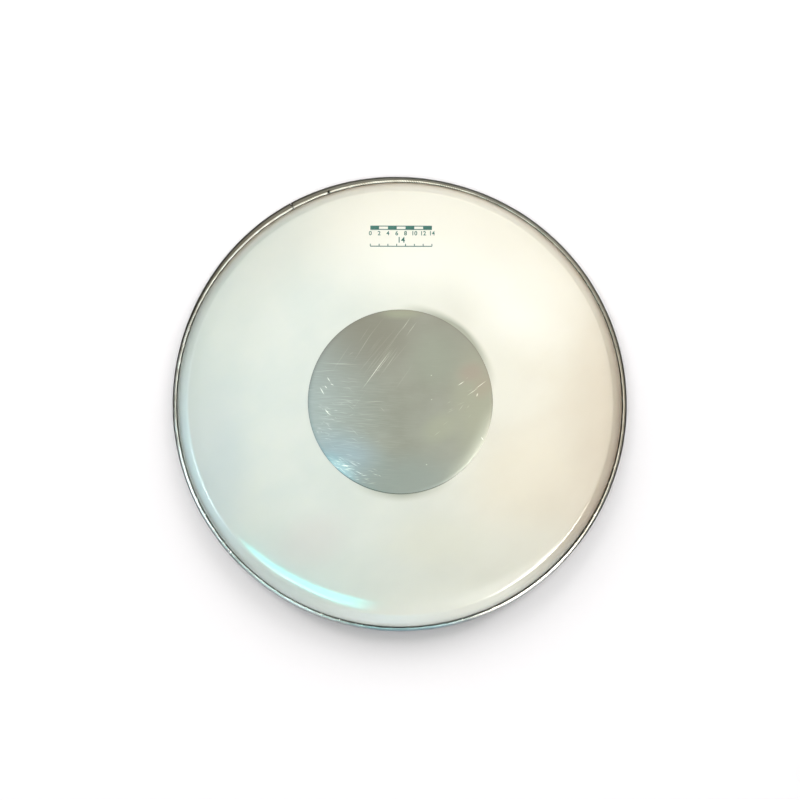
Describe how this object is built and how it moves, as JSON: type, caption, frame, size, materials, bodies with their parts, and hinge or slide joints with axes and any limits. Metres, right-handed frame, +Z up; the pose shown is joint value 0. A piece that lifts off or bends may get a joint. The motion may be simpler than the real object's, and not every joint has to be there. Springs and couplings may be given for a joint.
{
  "type": "drum head",
  "caption": "Milky polyester drum head with a formed collar and a silver centre dot, hooked and staked into a rolled aluminium flesh hoop.",
  "frame": {"origin": "centre of the hoop's bottom face", "axes": "+Z up through the centre of the film, towards the player's side; +Y towards the printed mark; +X to the right of the print"},
  "size_m": [0.3668, 0.3674, 0.0195],
  "materials": {
    "rolled_aluminium": "mill finish, tarnished",
    "steel_wire": "drawn",
    "milky_polyester": "smooth, translucent milky white",
    "clear_adhesive": "tacky, clear",
    "metallised_polyester": "silvered film, satin, scratched"
  },
  "bodies": {
    "root": {"flesh_hoop": "rolled_aluminium", "lock_ring": "steel_wire", "batter_film": "milky_polyester", "dot_adhesive": "clear_adhesive", "silver_dot": "metallised_polyester"}
  },
  "joints": []
}
